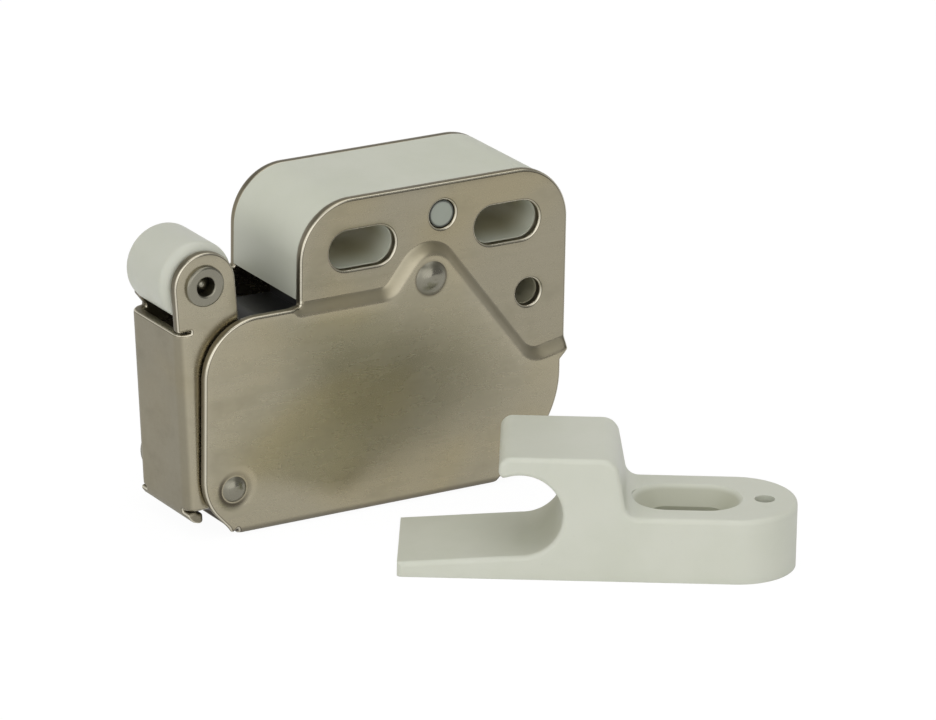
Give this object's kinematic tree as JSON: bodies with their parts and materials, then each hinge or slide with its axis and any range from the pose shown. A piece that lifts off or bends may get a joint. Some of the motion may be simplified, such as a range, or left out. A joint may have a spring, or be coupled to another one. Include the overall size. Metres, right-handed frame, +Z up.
{
  "type": "push-to-open roller catch",
  "caption": "Spring-loaded roller catch in a folded steel casing on a moulded block, with a push-push cam inside, and its separate hooked strike.",
  "frame": {"origin": "midway between the two screw slots, on the mounting face of the far plate", "axes": "+X along the plates away from the roller, +Z up, +Y out of the mounting face, away from the near plate"},
  "size_m": [0.0523, 0.0502, 0.0325],
  "materials": {
    "plated_steel": "bright nickel plate, lightly satin",
    "rivet_steel": "plated, satin",
    "spring_steel": "drawn wire",
    "white_nylon": "moulded, satin",
    "white_acetal": "turned or moulded, satin",
    "black_acetal": "moulded, satin"
  },
  "bodies": {
    "casing": {"casing": "plated_steel", "spacer_block": "white_nylon", "arm_pivot_rivet": "rivet_steel", "pivot_bush_near": "rivet_steel", "pivot_bush_far": "rivet_steel", "centre_rivet": "rivet_steel", "centre_sleeve": "rivet_steel", "arm_spring": "spring_steel", "cam_spring": "spring_steel", "strike": "white_nylon"},
    "arm": {"roller_arm": "plated_steel", "roller_axle": "rivet_steel"},
    "roller": {"roller": "white_acetal"},
    "follower": {"follower_wire": "spring_steel"},
    "cam": {"cam_rocker": "black_acetal"}
  },
  "joints": [
    {"name": "arm_swing", "type": "hinge", "parent": "casing", "child": "arm", "pos_m": [-0.0228, -0.0088, -0.02225], "axis": [0, -1, 0], "range_deg": [-6, 40], "deforming": ["arm_spring"]},
    {"name": "roller_spin", "type": "hinge", "parent": "arm", "child": "roller", "pos_m": [-0.02563, -0.0088, -0.00119], "axis": [0, -1, 0], "continuous": true},
    {"name": "wire_swing", "type": "hinge", "parent": "arm", "child": "follower", "pos_m": [-0.02319, -0.0088, -0.01125], "axis": [0, -1, 0], "range_deg": [-46, 8]},
    {"name": "cam_rock", "type": "hinge", "parent": "casing", "child": "cam", "pos_m": [-0.00085, -0.0088, -0.00405], "axis": [0, -1, 0], "range_deg": [0, 20], "stiffness_Nm_per_rad": 0.0005, "springref_deg": -20.05, "deforming": ["cam_spring"]}
  ],
  "couplings": [
    {"joint": "wire_swing", "follows": "arm_swing", "ratio": -1}
  ]
}
